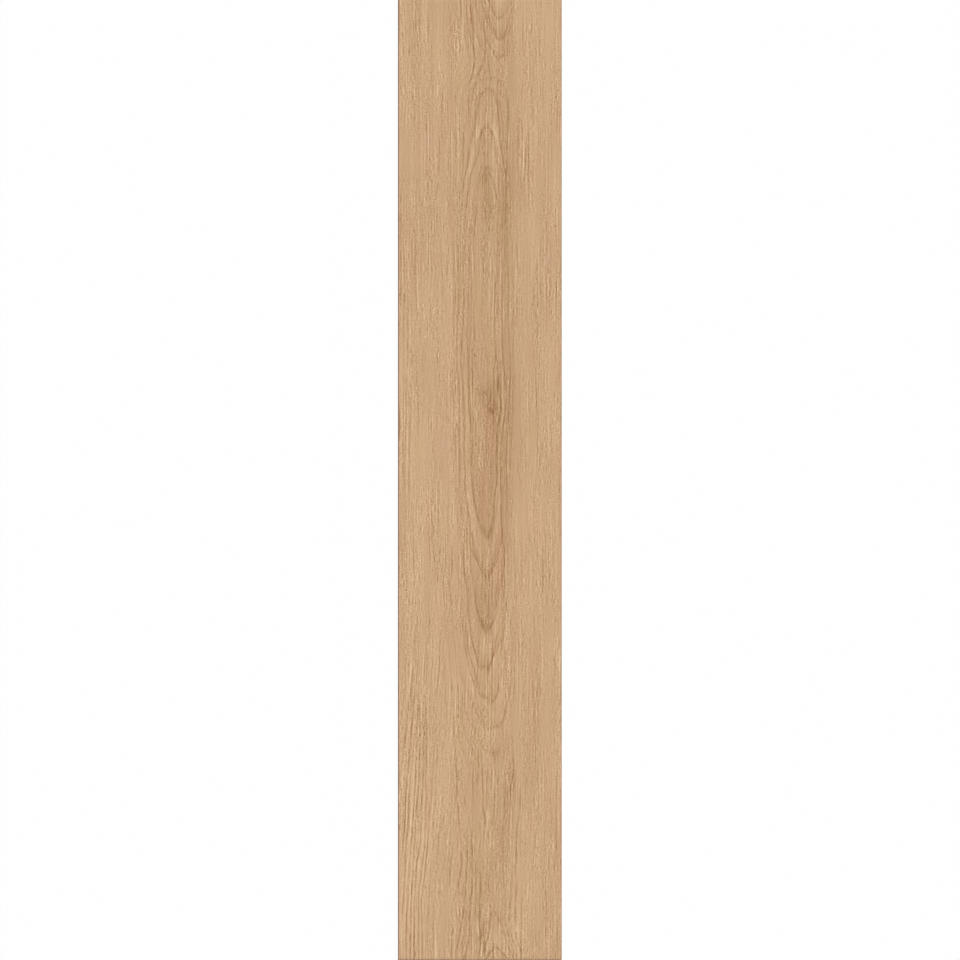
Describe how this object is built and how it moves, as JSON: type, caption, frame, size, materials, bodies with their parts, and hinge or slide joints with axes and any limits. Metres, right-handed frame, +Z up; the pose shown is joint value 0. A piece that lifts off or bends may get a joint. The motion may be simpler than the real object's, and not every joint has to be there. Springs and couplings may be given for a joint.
{
  "type": "vinyl floor plank",
  "caption": "Flat oblong vinyl floor plank with an oak-print embossed wear face, micro-bevelled arrises and a plain back, glued down edge to edge to cover a floor.",
  "frame": {"origin": "middle of the plank's back, on the floor it is glued to", "axes": "+Y along the plank and its grain, +X across it, +Z up out of the wear face"},
  "size_m": [0.2074, 1.22, 0.0025],
  "materials": {
    "printed_vinyl": "satin clear coat over a light oak print, lightly embossed along the grain; brown painted bevels; grey filled vinyl on the cut edges and the back"
  },
  "bodies": {
    "root": {"plank": "printed_vinyl"}
  },
  "joints": []
}
